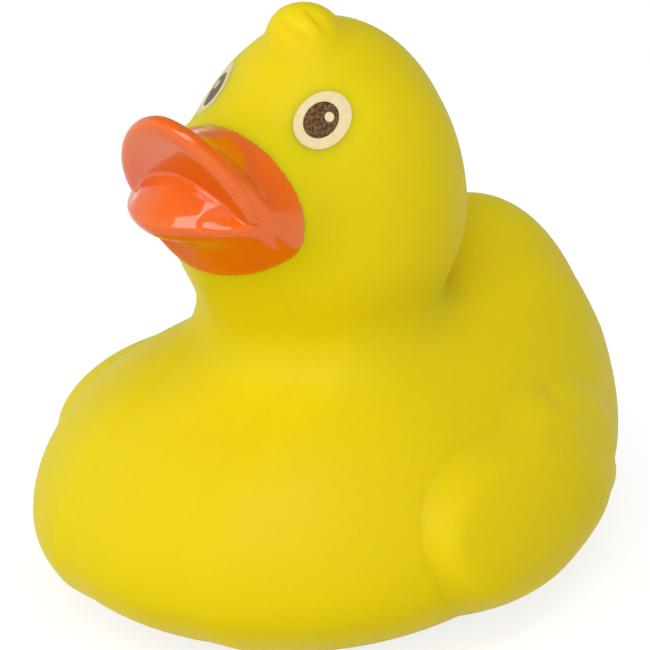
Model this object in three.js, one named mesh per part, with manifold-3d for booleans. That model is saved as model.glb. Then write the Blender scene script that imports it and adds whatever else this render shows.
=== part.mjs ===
// A vinyl bath duck, moulded in one piece: a flat-bottomed body with an upturned tail, raised wings
// with three feather ends each, an egg-shaped head with a small crest, and an upturned bill over a
// full lower lip. The body is a blend of rounded forms, given as a distance from its skin, which is
// then meshed. The wings, crest, bill and lip are finer solids that are joined to it.
//
// Millimetres. +Z is up, the duck faces -Y and its left side is +X. The origin is on the ground
// under the middle of its box.

import * as THREE from 'three';
import { LoftGeometry } from 'three/addons/geometries/LoftGeometry.js';
import { mergeVertices } from 'three/addons/utils/BufferGeometryUtils.js';
import ManifoldModule from 'manifold-3d';

// Body: half sizes from its widest level, and how much of its rounded bottom the flat base cuts off
const BODY_HALF_WIDTH = 30.2;
const BODY_FRONT = 34.6;
const BODY_REAR = 44.4;
const BODY_ABOVE = 21.7;
const BODY_BELOW = 13.7;
const BODY_Y = -6;
const BODY_NARROWING = 0.03;
const BASE_CUT = 1.7;
const BASE_EDGE_BLEND = 1.6;

// Tail: an upright round form of the given half sizes, blended widely into the rump
const TAIL_BEHIND_BODY = 29.9;
const TAIL_ABOVE_BODY = 11.5;
const TAIL_HALF_WIDTH = 9.5;
const TAIL_HALF_LENGTH = 17;
const TAIL_HALF_THICKNESS = 15;
const TAIL_PITCH = 100;
const TAIL_BLEND = 30;

// Head: half sizes from its widest level
const HEAD_AHEAD_OF_BODY = -2;
const HEAD_ABOVE_BODY = 35.4;
const HEAD_HALF_WIDTH = 15.6;
const HEAD_FRONT = 18;
const HEAD_REAR = 19.9;
const HEAD_ABOVE = 24.7;
const HEAD_BELOW = 15;

// The flattened place that each eye is printed on
const EYE_FLAT_ASIDE = 8.4;
const EYE_FLAT_AHEAD_OF_HEAD = 8.4;
const EYE_FLAT_ABOVE_HEAD = 16.1;
const EYE_FLAT_DEPTH = 0.75;
const EYE_FLAT_RADIUS = 6.6;

// Neck: a round form between the two
const NECK_AHEAD_OF_HEAD = 0.4;
const NECK_BELOW_HEAD = 12.8;
const NECK_HALF_WIDTH = 12.8;
const NECK_HALF_LENGTH = 13.6;
const NECK_HALF_HEIGHT = 11.8;
const NECK_BODY_BLEND = 9;
const NECK_HEAD_BLEND = 5.5;

// Wings: a round palm and three feathers on each flank, placed from the body's centre
const WING_PALM = { back: 8.1, up: 0.6, halfLength: 21, halfHeight: 12, turn: -16.5 };
const WING_FEATHERS = [
  { back: 13.8, up: 9.4, halfLength: 6.6, halfHeight: 5.5, turn: 20 },
  { back: 24, up: 7, halfLength: 9, halfHeight: 6.2, turn: -35 },
  { back: 25.5, up: -2.6, halfLength: 8, halfHeight: 5.6, turn: 4 },
];
const WING_PALM_BLEND = 8;
const WING_FEATHER_BLEND = 1.6;
const WING_RISE_FRONT = 2.2;
const WING_RISE_REAR = 1.8;
const WING_RISE_SPAN = 22;
const WING_EDGE = 5.5;
const WING_ROOT_DEPTH = 3;
const WING_ABOVE_BASE = 0.8;

// Muzzle: the swelling of the face that carries the bill
const MUZZLE_AHEAD_OF_HEAD = 14.8;
const MUZZLE_ABOVE_HEAD = 6.6;
const MUZZLE_HALF_WIDTH = 11.8;
const MUZZLE_HALF_LENGTH = 9.6;
const MUZZLE_HALF_HEIGHT = 8.8;
const MUZZLE_PITCH = 12;
const MUZZLE_BLEND = 7;

// Upper bill: a leaf-shaped plate with a rounded rim, thicker towards its root
const BILL_AHEAD_OF_MUZZLE = 7.3;
const BILL_ABOVE_MUZZLE = 2.3;
const BILL_PITCH = 60;
const BILL_HALF_WIDTH = 10;
const BILL_LENGTH = 13.1;
const BILL_ROOT = 6;
const BILL_POINT = 1.75;
const BILL_RIM_RADIUS = 1.2;
const BILL_FACE_OFFSET = 0.7;
const BILL_FACE_BOW = 0.6;
const BILL_SWELL = 5;

// Lower lip
const LIP_AHEAD_OF_MUZZLE = 5.8;
const LIP_ABOVE_MUZZLE = 0.8;
const LIP_HALF_WIDTH = 9;
const LIP_HALF_LENGTH = 8.4;
const LIP_ABOVE = 4.2;
const LIP_BELOW = 3.3;
const LIP_PITCH = 3.4;

// Crest: a dome on the crown, parted into three tufts by two grooves on each flank. A groove runs
// forward by its lean for each millimetre that it goes out from the middle.
const CREST_AHEAD_OF_HEAD = 3.2;
const CREST_ABOVE_HEAD = 23.4;
const CREST_HALF_WIDTH = 4.6;
const CREST_FRONT = 3.9;
const CREST_REAR = 5.7;
const CREST_HALF_HEIGHT = 4.2;
const CREST_GROOVES = [
  { ahead: 2.1, lean: 0.1, depth: 0.45, width: 0.75 },
  { ahead: -2.1, lean: 0.42, depth: 0.5, width: 0.55 },
];
const CREST_GROOVE_START = 0.2;
const CREST_GROOVE_FULL = 1.8;

// Mesh fineness
const CELLS_ALONG_BODY = 29;
const RELAX_PASSES = 5;
const WING_RIM_POINTS = 72;
const BILL_RIM_POINTS = 44;
const LIP_SEGMENTS = 32;
const CREST_SEGMENTS = 40;

const { abs, cos, hypot, max, min, pow, sign, sin } = Math;
const radians = THREE.MathUtils.degToRad;

// Places that follow from the sizes above, on the middle plane
const bodyAt = { y: BODY_Y, z: BODY_BELOW - BASE_CUT };
const tailAt = { y: bodyAt.y + TAIL_BEHIND_BODY, z: bodyAt.z + TAIL_ABOVE_BODY };
const headAt = { y: bodyAt.y - HEAD_AHEAD_OF_BODY, z: bodyAt.z + HEAD_ABOVE_BODY };
const neckAt = { y: headAt.y - NECK_AHEAD_OF_HEAD, z: headAt.z - NECK_BELOW_HEAD };
const muzzleAt = { y: headAt.y - MUZZLE_AHEAD_OF_HEAD, z: headAt.z + MUZZLE_ABOVE_HEAD };
const billAt = { y: muzzleAt.y - BILL_AHEAD_OF_MUZZLE, z: muzzleAt.z + BILL_ABOVE_MUZZLE };
const lipAt = { y: muzzleAt.y - LIP_AHEAD_OF_MUZZLE, z: muzzleAt.z + LIP_ABOVE_MUZZLE };
const crestAt = { y: headAt.y - CREST_AHEAD_OF_HEAD, z: headAt.z + CREST_ABOVE_HEAD };

// Distance-like measure from an ellipsoid of half sizes a, b, c, at a point taken from its centre
function ellipsoid(x, y, z, a, b, c) {
  const unit = hypot(x / a, y / b, z / c);
  const slope = hypot(x / (a * a), y / (b * b), z / (c * c));
  return (unit * (unit - 1)) / max(slope, 1e-9);
}

// The lesser of two distances, rounded over where they differ by less than k
function blend(a, b, k) {
  const h = max(k - abs(a - b), 0) / k;
  return min(a, b) - (h * h * h * k) / 6;
}

function body(x, y, z) {
  const dy = y - bodyAt.y;
  const dz = z - bodyAt.z;
  const narrowing = 1 - BODY_NARROWING * THREE.MathUtils.clamp(dy / BODY_REAR, -1, 1);
  const along = dy > 0 ? BODY_REAR : BODY_FRONT;
  const up = dz > 0 ? BODY_ABOVE : BODY_BELOW;
  return ellipsoid(x / narrowing, dy, dz, BODY_HALF_WIDTH, along, up);
}

function tail(x, y, z) {
  const a = radians(TAIL_PITCH);
  const dy = y - tailAt.y;
  const dz = z - tailAt.z;
  const along = dy * cos(a) + dz * sin(a);
  const through = dz * cos(a) - dy * sin(a);
  return ellipsoid(x, along, through, TAIL_HALF_WIDTH, TAIL_HALF_LENGTH, TAIL_HALF_THICKNESS);
}

function neck(x, y, z) {
  return ellipsoid(x, y - neckAt.y, z - neckAt.z, NECK_HALF_WIDTH, NECK_HALF_LENGTH, NECK_HALF_HEIGHT);
}

function head(x, y, z) {
  const dy = y - headAt.y;
  const dz = z - headAt.z;
  const along = dy > 0 ? HEAD_REAR : HEAD_FRONT;
  const up = dz > 0 ? HEAD_ABOVE : HEAD_BELOW;
  const fromEye = hypot(abs(x) - EYE_FLAT_ASIDE, dy + EYE_FLAT_AHEAD_OF_HEAD, dz - EYE_FLAT_ABOVE_HEAD);
  const flat = EYE_FLAT_DEPTH * Math.exp(-pow(fromEye / EYE_FLAT_RADIUS, 2));
  return ellipsoid(x, dy, dz, HEAD_HALF_WIDTH, along, up) + flat;
}

function muzzle(x, y, z) {
  const a = radians(MUZZLE_PITCH);
  const forward = muzzleAt.y - y;
  const dz = z - muzzleAt.z;
  const along = forward * cos(a) + dz * sin(a);
  const through = dz * cos(a) - forward * sin(a);
  return ellipsoid(x, along, through, MUZZLE_HALF_WIDTH, MUZZLE_HALF_LENGTH, MUZZLE_HALF_HEIGHT);
}

// Distance in side view from one lobe of the wing
function wingLobe(y, z, lobe) {
  const a = radians(lobe.turn);
  const dy = y - bodyAt.y - lobe.back;
  const dz = z - bodyAt.z - lobe.up;
  const along = dy * cos(a) + dz * sin(a);
  const across = dz * cos(a) - dy * sin(a);
  return ellipsoid(along, across, 0, lobe.halfLength, lobe.halfHeight, 1);
}

// The wing's outline in side view: negative inside, with the palm and every feather together, and
// ending just above the base
function wingPlan(y, z) {
  const palm = wingLobe(y, z, WING_PALM);
  const lobes = WING_FEATHERS.map((feather) => blend(palm, wingLobe(y, z, feather), WING_PALM_BLEND));
  return max(min(...lobes), WING_ABOVE_BASE - z);
}

// How far the wing stands out of the flank. Each feather runs smoothly out of the palm, so that
// only the feathers' ends are parted by grooves.
function wingRise(y, z) {
  const palm = wingLobe(y, z, WING_PALM);
  const reach = THREE.MathUtils.smoothstep(y - bodyAt.y - WING_PALM.back, 0, WING_RISE_SPAN);
  const rise = THREE.MathUtils.lerp(WING_RISE_FRONT, WING_RISE_REAR, reach);
  let height = 0;
  for (const feather of WING_FEATHERS) {
    const inside = -blend(palm, wingLobe(y, z, feather), WING_PALM_BLEND);
    const step = THREE.MathUtils.clamp(inside / WING_EDGE, 0, 1);
    height = -blend(-height, -rise * step * (2 - step), WING_FEATHER_BLEND);
  }
  return height;
}

// The moulded body with its neck, head and muzzle, above the flat base
function skin(x, y, z) {
  let d = blend(body(x, y, z), tail(x, y, z), TAIL_BLEND);
  d = blend(d, neck(x, y, z), NECK_BODY_BLEND);
  d = blend(d, head(x, y, z), NECK_HEAD_BLEND);
  d = -blend(-d, z, BASE_EDGE_BLEND);
  return blend(d, muzzle(x, y, z), MUZZLE_BLEND);
}

// The place between two values where a function changes sign
function crossing(f, from, to) {
  let near = from;
  let far = to;
  for (let n = 0; n < 40; n++) {
    const mid = (near + far) / 2;
    if (f(mid) < 0) near = mid;
    else far = mid;
  }
  return (near + far) / 2;
}

function slopeOf(field, p, step) {
  return new THREE.Vector3(
    field(p.x + step, p.y, p.z) - field(p.x - step, p.y, p.z),
    field(p.x, p.y + step, p.z) - field(p.x, p.y - step, p.z),
    field(p.x, p.y, p.z + step) - field(p.x, p.y, p.z - step),
  ).divideScalar(2 * step);
}

// Moves a point onto the field's skin
function settle(field, p, cell) {
  for (let i = 0; i < 4; i++) {
    const slope = slopeOf(field, p, cell / 50);
    p.addScaledVector(slope, -field(p.x, p.y, p.z) / max(slope.lengthSq(), 1e-6));
  }
}

// Meshes a field's zero level: one vertex in each cell that the skin crosses, one quad across each
// crossed grid edge, and the vertices then evened out along the skin.
function meshField(field, box, cell) {
  const size = box.getSize(new THREE.Vector3());
  const nx = 2 * Math.ceil(size.x / cell / 2);
  const ny = Math.ceil(size.y / cell);
  const nz = Math.ceil(size.z / cell);
  const start = box.getCenter(new THREE.Vector3()).sub(new THREE.Vector3(nx, ny, nz).multiplyScalar(cell / 2));
  const node = (i, j, k) => (k * (ny + 1) + j) * (nx + 1) + i;
  const value = new Float64Array((nx + 1) * (ny + 1) * (nz + 1));
  for (let k = 0; k <= nz; k++) {
    for (let j = 0; j <= ny; j++) {
      for (let i = 0; i <= nx; i++) {
        value[node(i, j, k)] = field(start.x + i * cell, start.y + j * cell, start.z + k * cell);
      }
    }
  }

  const points = [];
  const vertexOf = new Map();
  const steps = [[1, 0, 0], [0, 1, 0], [0, 0, 1]];
  const corners = [0, 1, 2, 3, 4, 5, 6, 7].map((c) => [c & 1, (c >> 1) & 1, (c >> 2) & 1]);
  const vertexIn = (i, j, k) => {
    const key = node(i, j, k);
    if (vertexOf.has(key)) return vertexOf.get(key);
    const mean = new THREE.Vector3();
    let count = 0;
    for (const [a, b, c] of corners) {
      for (const [da, db, dc] of steps) {
        if (a + da > 1 || b + db > 1 || c + dc > 1) continue;
        const v0 = value[node(i + a, j + b, k + c)];
        const v1 = value[node(i + a + da, j + b + db, k + c + dc)];
        if (v0 < 0 === v1 < 0) continue;
        const t = v0 / (v0 - v1);
        mean.add(new THREE.Vector3(i + a + da * t, j + b + db * t, k + c + dc * t));
        count++;
      }
    }
    points.push(mean.multiplyScalar(cell / count).add(start));
    vertexOf.set(key, points.length - 1);
    return points.length - 1;
  };

  const quads = [];
  for (let k = 1; k < nz; k++) {
    for (let j = 1; j < ny; j++) {
      for (let i = 1; i < nx; i++) {
        const inside = value[node(i, j, k)] < 0;
        steps.forEach(([a, b, c]) => {
          if (inside === value[node(i + a, j + b, k + c)] < 0) return;
          const ring = [[0, 0], [1, 0], [1, 1], [0, 1]].map(([u, v]) => {
            if (a) return vertexIn(i, j - u, k - v);
            if (b) return vertexIn(i - v, j, k - u);
            return vertexIn(i - u, j - v, k);
          });
          quads.push(inside ? ring : ring.reverse());
        });
      }
    }
  }

  const neighbours = points.map(() => new Set());
  for (const quad of quads) {
    quad.forEach((v, n) => {
      neighbours[v].add(quad[(n + 1) % 4]);
      neighbours[v].add(quad[(n + 3) % 4]);
    });
  }
  points.forEach((p) => settle(field, p, cell));
  for (let pass = 0; pass < RELAX_PASSES; pass++) {
    const moved = points.map((p, v) => {
      const mean = new THREE.Vector3();
      neighbours[v].forEach((n) => mean.add(points[n]));
      return mean.divideScalar(neighbours[v].size).lerp(p, 0.4);
    });
    moved.forEach((p, v) => {
      settle(field, p, cell);
      points[v] = p;
    });
  }

  const triangles = quads.flatMap(([a, b, c, d]) => {
    const shortAC = points[a].distanceTo(points[c]) < points[b].distanceTo(points[d]);
    return shortAC ? [a, b, c, a, c, d] : [a, b, d, b, c, d];
  });
  const geometry = new THREE.BufferGeometry();
  geometry.setAttribute('position', new THREE.Float32BufferAttribute(points.flatMap((p) => p.toArray()), 3));
  geometry.setIndex(triangles);
  return geometry;
}

// One wing, lofted from a root inside the body out to its rim and over its raised face. Side is 1
// for the left wing and -1 for the right.
function wingGeometry(side) {
  const middle = { y: bodyAt.y + WING_FEATHERS[0].back, z: bodyAt.z + WING_PALM.up };
  const farthest = BODY_FRONT + BODY_REAR;
  const rim = [];
  for (let n = 0; n < WING_RIM_POINTS; n++) {
    const turn = (n / WING_RIM_POINTS) * 2 * Math.PI;
    const reach = crossing((r) => wingPlan(middle.y + r * cos(turn), middle.z + r * sin(turn)), 0, farthest);
    rim.push({ y: reach * cos(turn), z: reach * sin(turn) });
  }
  const ringAt = (share, liftOf) =>
    rim.map((p) => {
      const y = middle.y + share * p.y;
      const z = middle.z + share * p.z;
      const flank = crossing((x) => skin(x, y, z), 0, 2 * BODY_HALF_WIDTH);
      return new THREE.Vector3(side * (flank + liftOf(y, z)), y, z);
    });
  const sunk = () => -WING_ROOT_DEPTH;
  const rings = [
    ringAt(0, sunk),
    ringAt(0.6, sunk),
    ringAt(0.97, sunk),
    ringAt(1, () => -WING_ROOT_DEPTH / 4),
    ...[0.965, 0.92, 0.86, 0.78, 0.67, 0.5, 0.3, 0].map((share) => ringAt(share, wingRise)),
  ];
  if (side < 0) rings.forEach((ring) => ring.reverse());
  return new LoftGeometry(rings, { closed: true });
}

// The upper bill, lofted from the middle of its back out to the rim and over to its front face
function billGeometry() {
  const rings = [];
  const addRing = (share, inset, depthOf) => {
    const ring = [];
    for (let n = 0; n < BILL_RIM_POINTS; n++) {
      const turn = (n / BILL_RIM_POINTS) * 2 * Math.PI;
      const reach = sin(turn) > 0 ? BILL_LENGTH : BILL_ROOT;
      const x = share * sign(cos(turn)) * pow(abs(cos(turn)), 2 / BILL_POINT) * (BILL_HALF_WIDTH - inset);
      const along = share * sign(sin(turn)) * pow(abs(sin(turn)), 2 / BILL_POINT) * (reach - inset);
      ring.push(new THREE.Vector3(x, along, depthOf(x)));
    }
    rings.push(ring);
  };
  const r = BILL_RIM_RADIUS;
  const face = (x) => BILL_FACE_OFFSET + BILL_FACE_BOW * pow(x / BILL_HALF_WIDTH, 2);
  for (const share of [0, 0.4, 0.6, 0.8]) {
    const swell = BILL_SWELL * pow(min((1 - share) * 1.5, 1), 2);
    addRing(share, r, (x) => face(x) - 2 * r - swell);
  }
  for (const turn of [-90, -54, -18, 18, 54, 90]) {
    addRing(1, r - r * cos(radians(turn)), (x) => face(x) - r + r * sin(radians(turn)));
  }
  for (const share of [0.75, 0.4, 0]) addRing(share, r, face);
  const geometry = new LoftGeometry(rings, { closed: true });
  const a = radians(BILL_PITCH);
  const across = new THREE.Vector3(1, 0, 0);
  const along = new THREE.Vector3(0, -cos(a), sin(a));
  const outward = new THREE.Vector3(0, -sin(a), -cos(a));
  const place = new THREE.Matrix4().makeBasis(across, along, outward);
  return geometry.applyMatrix4(place.setPosition(0, billAt.y, billAt.z));
}

function lipGeometry() {
  const geometry = new THREE.SphereGeometry(1, LIP_SEGMENTS, LIP_SEGMENTS / 2);
  const position = geometry.attributes.position;
  for (let n = 0; n < position.count; n++) {
    const up = position.getZ(n);
    position.setZ(n, up * (up > 0 ? LIP_ABOVE : LIP_BELOW));
  }
  geometry.scale(LIP_HALF_WIDTH, LIP_HALF_LENGTH, 1);
  geometry.rotateX(-radians(LIP_PITCH));
  return geometry.translate(0, lipAt.y, lipAt.z);
}

// How deep the crest's grooves are at a place taken from its centre
function crestGroove(x, y) {
  const out = abs(x);
  const inner = THREE.MathUtils.smoothstep(out, CREST_GROOVE_START, CREST_GROOVE_FULL);
  const outer = 1 - THREE.MathUtils.smoothstep(out, CREST_GROOVE_FULL, CREST_HALF_WIDTH);
  let depth = 0;
  for (const groove of CREST_GROOVES) {
    const across = (y + groove.ahead + groove.lean * out) / groove.width;
    depth += groove.depth * Math.exp(-across * across);
  }
  return depth * inner * outer;
}

function crestGeometry() {
  const geometry = new THREE.SphereGeometry(1, CREST_SEGMENTS, CREST_SEGMENTS / 2);
  const position = geometry.attributes.position;
  for (let n = 0; n < position.count; n++) {
    const out = new THREE.Vector3().fromBufferAttribute(position, n);
    const along = out.y > 0 ? CREST_REAR : CREST_FRONT;
    const p = new THREE.Vector3(out.x * CREST_HALF_WIDTH, out.y * along, out.z * CREST_HALF_HEIGHT);
    p.addScaledVector(out, -crestGroove(p.x, p.y));
    position.setXYZ(n, p.x, p.y, p.z);
  }
  return geometry.translate(0, crestAt.y, crestAt.z);
}

const wasm = await ManifoldModule();
wasm.setup();

function solidOf(geometry) {
  const bare = new THREE.BufferGeometry();
  bare.setAttribute('position', geometry.attributes.position);
  bare.setIndex(geometry.index);
  const merged = mergeVertices(bare, 1e-4);
  const vertProperties = new Float32Array(merged.attributes.position.array);
  const corners = merged.index.array;
  const triVerts = [];
  for (let n = 0; n < corners.length; n += 3) {
    const [a, b, c] = [corners[n], corners[n + 1], corners[n + 2]];
    if (a !== b && b !== c && c !== a) triVerts.push(a, b, c);
  }
  return new wasm.Manifold(new wasm.Mesh({ numProp: 3, vertProperties, triVerts: new Uint32Array(triVerts) }));
}

function geometryOf(solid) {
  const mesh = solid.getMesh();
  const geometry = new THREE.BufferGeometry();
  geometry.setAttribute('position', new THREE.Float32BufferAttribute(mesh.vertProperties, 3));
  geometry.setIndex(Array.from(mesh.triVerts));
  geometry.computeVertexNormals();
  return geometry;
}

const cell = (BODY_FRONT + BODY_REAR) / CELLS_ALONG_BODY;
const front = min(bodyAt.y - BODY_FRONT, muzzleAt.y - MUZZLE_HALF_LENGTH);
const rear = max(bodyAt.y + BODY_REAR, tailAt.y + TAIL_HALF_LENGTH);
const top = max(headAt.z + HEAD_ABOVE, tailAt.z + TAIL_HALF_LENGTH);
const box = new THREE.Box3(
  new THREE.Vector3(-BODY_HALF_WIDTH, front, 0),
  new THREE.Vector3(BODY_HALF_WIDTH, rear, top),
);
box.expandByScalar(2 * cell);

let duck = solidOf(meshField(skin, box, cell));
const wings = [1, -1].map(wingGeometry);
for (const piece of [...wings, billGeometry(), lipGeometry(), crestGeometry()]) {
  duck = duck.add(solidOf(piece));
}

const geometry = geometryOf(duck);
geometry.computeBoundingBox();
const middle = geometry.boundingBox.getCenter(new THREE.Vector3());
geometry.translate(0, -middle.y, 0);

const vinyl = new THREE.MeshStandardMaterial({ color: 0xe3cb12, roughness: 0.5, metalness: 0 });
const duckMesh = new THREE.Mesh(geometry, vinyl);
duckMesh.name = 'vinyl_duck';

const group = new THREE.Group();
group.add(duckMesh);

export default group;
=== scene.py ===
"""A squeezable vinyl bath duck, dressed as its photograph shows it.

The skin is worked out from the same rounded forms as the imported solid, at a finer pitch, so that
the wings' grooves, the crest and the lips of the beak are in its geometry. The beak's paint and the
printed eyes are thin films that lie on that skin.

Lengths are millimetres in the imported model's frame: +Z up, the duck faces -Y, its left side is +X.
They become metres where a mesh is made. Sizes in finishes are metres, and angles are degrees.
"""
import logging
import math
from dataclasses import dataclass
from enum import Enum
from typing import Any, Callable

import bpy
import numpy as np
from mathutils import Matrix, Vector


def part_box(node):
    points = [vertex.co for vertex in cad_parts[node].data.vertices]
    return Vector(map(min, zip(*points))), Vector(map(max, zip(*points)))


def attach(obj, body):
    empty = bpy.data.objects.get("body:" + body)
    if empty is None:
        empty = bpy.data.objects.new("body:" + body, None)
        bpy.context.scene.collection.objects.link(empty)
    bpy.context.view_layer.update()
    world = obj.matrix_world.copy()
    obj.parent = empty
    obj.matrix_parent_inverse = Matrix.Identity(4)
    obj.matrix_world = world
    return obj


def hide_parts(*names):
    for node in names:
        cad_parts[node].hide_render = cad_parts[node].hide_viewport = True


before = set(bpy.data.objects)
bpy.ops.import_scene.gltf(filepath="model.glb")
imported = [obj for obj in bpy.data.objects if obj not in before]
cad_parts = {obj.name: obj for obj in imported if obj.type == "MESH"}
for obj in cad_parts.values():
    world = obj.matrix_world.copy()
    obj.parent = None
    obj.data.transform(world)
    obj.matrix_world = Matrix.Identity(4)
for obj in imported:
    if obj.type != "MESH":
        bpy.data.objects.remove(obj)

LOG = logging.getLogger("vinyl_duck")

MM = 0.001
NODE = "vinyl_duck"
BODY = "root"

# The least divisor, the step that slopes are measured over, and the least squared slope to move by.
TINY = 1e-9
SLOPE_STEP = 0.02
LEAST_STEEP = 0.05

Points = np.ndarray
Field = Callable[[Points], np.ndarray]
Colour = tuple[float, float, float]
Span = tuple[float, float]


class Slot(Enum):
    """The record's material slots."""

    VINYL = "vinyl"
    BEAK = "beak_paint"
    EYE_WHITE = "eye_white"
    EYE_PUPIL = "eye_pupil"


class Side(Enum):
    """The duck's own left and right, as the sign of X."""

    LEFT = 1
    RIGHT = -1


def blend(a: np.ndarray, b: np.ndarray, reach: float | np.ndarray) -> np.ndarray:
    """Takes the lesser of two distances, rounded over where they are close.

    Args:
        a: Distances from one form.
        b: Distances from the other form.
        reach: Difference, in millimetres, below which the two run together, in all or at each point.

    Returns:
        Distances from both forms as one.
    """
    near = np.maximum(reach - np.abs(a - b), 0.0) / reach
    return np.minimum(a, b) - near**3 * reach / 6.0


def trim(a: np.ndarray, b: np.ndarray, reach: float) -> np.ndarray:
    """Takes the greater of two distances, rounded over where they are within reach of each other."""
    return -blend(-a, -b, reach)


def ease(value: np.ndarray, low: float, high: float) -> np.ndarray:
    """Runs smoothly from 0 at low to 1 at high."""
    share = np.clip((value - low) / (high - low), 0.0, 1.0)
    return share * share * (3.0 - 2.0 * share)


def gradient(field: Field, points: Points) -> Points:
    """Gives the direction and rate at which a field grows at each point."""
    parts = [(field(points + a) - field(points - a)) / (2.0 * SLOPE_STEP) for a in np.eye(3) * SLOPE_STEP]
    return np.stack(parts, axis=-1)


def turned(points: Points, y: float, z: float, pitch: float) -> tuple[np.ndarray, np.ndarray]:
    """Measures points from a place on the middle plane, along a pitched form's own axes.

    Args:
        points: Places in the model's frame.
        y: The place's Y.
        z: The place's Z.
        pitch: How far the form's front end is turned up.

    Returns:
        How far the points lie towards the form's rear, and how far up.
    """
    turn = math.radians(pitch)
    dy = points[:, 1] - y
    dz = points[:, 2] - z
    rearward = dy * math.cos(turn) - dz * math.sin(turn)
    upward = dz * math.cos(turn) + dy * math.sin(turn)
    return rearward, upward


def ellipsoid(offset: Points, half: Points) -> np.ndarray:
    """Gives a distance-like measure from an ellipsoid.

    Args:
        offset: Points taken from the ellipsoid's centre, along its own axes.
        half: Its half sizes, one row in all or one for each point.

    Returns:
        About the distance outside it, negative inside.
    """
    unit = np.linalg.norm(offset / half, axis=-1)
    slope = np.linalg.norm(offset / half**2, axis=-1)
    return unit * (unit - 1.0) / np.maximum(slope, TINY)


@dataclass(frozen=True)
class RoundForm:
    """An ellipsoid on the middle plane, with its own reach to each side of its centre."""

    y: float
    z: float
    half_width: float
    ahead: float
    behind: float
    above: float
    below: float
    pitch: float = 0.0

    def distance(self, points: Points) -> np.ndarray:
        """Measures points from this form.

        Args:
            points: Places in the model's frame.

        Returns:
            About their distances, negative inside.
        """
        rearward, upward = turned(points, self.y, self.z, self.pitch)
        offset = np.stack([points[:, 0], rearward, upward], axis=-1)
        half = np.empty_like(offset)
        half[:, 0] = self.half_width
        half[:, 1] = np.where(rearward > 0, self.behind, self.ahead)
        half[:, 2] = np.where(upward > 0, self.above, self.below)
        return ellipsoid(offset, half)


@dataclass(frozen=True)
class Lobe:
    """One oval of the wing in side view, its rear end turned up."""

    y: float
    z: float
    half_length: float
    half_height: float
    turn: float

    def distance(self, points: Points) -> np.ndarray:
        """Gives the distance from the oval's edge in side view, negative inside."""
        offset = np.stack(turned(points, self.y, self.z, -self.turn), axis=-1)
        return ellipsoid(offset, np.array([self.half_length, self.half_height]))


@dataclass(frozen=True)
class Wings:
    """The raised wings: a palm on each flank that runs out into feathers."""

    palm: Lobe
    feathers: tuple[Lobe, ...]
    palm_blend: float = 8.0
    feather_blend: float = 1.8
    rise_front: float = 2.35
    rise_rear: float = 1.5
    rise_span: float = 22.0
    upper_edge: float = 3.1
    lower_edge: float = 6.5
    edge_span: float = 8.0
    inner: float = 8.0
    fade: float = 4.0

    def rise(self, points: Points) -> np.ndarray:
        """Gives how far the wing lifts the flank at each point.

        Each feather runs smoothly out of the palm, so that only the feathers' ends are parted.

        Args:
            points: Places near the flank.

        Returns:
            The lift in millimetres, nothing off the wing.
        """
        palm = self.palm.distance(points)
        reach = ease(points[:, 1], self.palm.y, self.palm.y + self.rise_span)
        full = self.rise_front + (self.rise_rear - self.rise_front) * reach
        low = ease(self.palm.z - points[:, 2], 0.0, self.edge_span)
        edge = self.upper_edge + (self.lower_edge - self.upper_edge) * low
        lift = np.zeros(len(points))
        for feather in self.feathers:
            inside = -blend(palm, feather.distance(points), self.palm_blend)
            step = np.clip(inside / edge, 0.0, 1.0)
            lift = -blend(-lift, -full * step * (2.0 - step), self.feather_blend)
        return lift * np.clip((np.abs(points[:, 0]) - self.inner) / self.fade, 0.0, 1.0)


@dataclass(frozen=True)
class EyeFlats:
    """The flattened places on both sides of the head that the eyes are printed on."""

    aside: float
    y: float
    z: float
    depth: float = 0.35
    radius: float = 6.6

    def cut(self, points: Points) -> np.ndarray:
        """Gives how far the head is pressed in at each point."""
        offset = np.stack([np.abs(points[:, 0]) - self.aside, points[:, 1] - self.y, points[:, 2] - self.z])
        return self.depth * np.exp(-((offset / self.radius) ** 2).sum(axis=0))


@dataclass(frozen=True)
class Groove:
    """A soft groove in the crest's left flank, in a plane that leans as it goes out from the middle."""

    y: float
    z: float
    tilt: float
    lean: float
    depth: float
    width: float
    start: float
    full: float
    fading: float
    far: float

    def cut(self, points: Points) -> np.ndarray:
        """Measures how deep the groove is.

        Args:
            points: Places near the crest.

        Returns:
            The groove's depth at each of them.
        """
        out = points[:, 0]
        fade = ease(out, self.start, self.full) * (1.0 - ease(out, self.fading, self.far))
        tilt = math.radians(self.tilt)
        across = (points[:, 1] - self.y) * math.cos(tilt) + (points[:, 2] - self.z) * math.sin(tilt)
        return self.depth * fade * np.exp(-(((across + self.lean * out) / self.width) ** 2))


@dataclass(frozen=True)
class Crest:
    """The small dome on the crown, parted into three tufts by its grooves."""

    dome: RoundForm
    grooves: tuple[Groove, ...]

    def distance(self, points: Points) -> np.ndarray:
        """Gives the distance of points from the crest."""
        return self.dome.distance(points) + sum(groove.cut(points) for groove in self.grooves)


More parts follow.
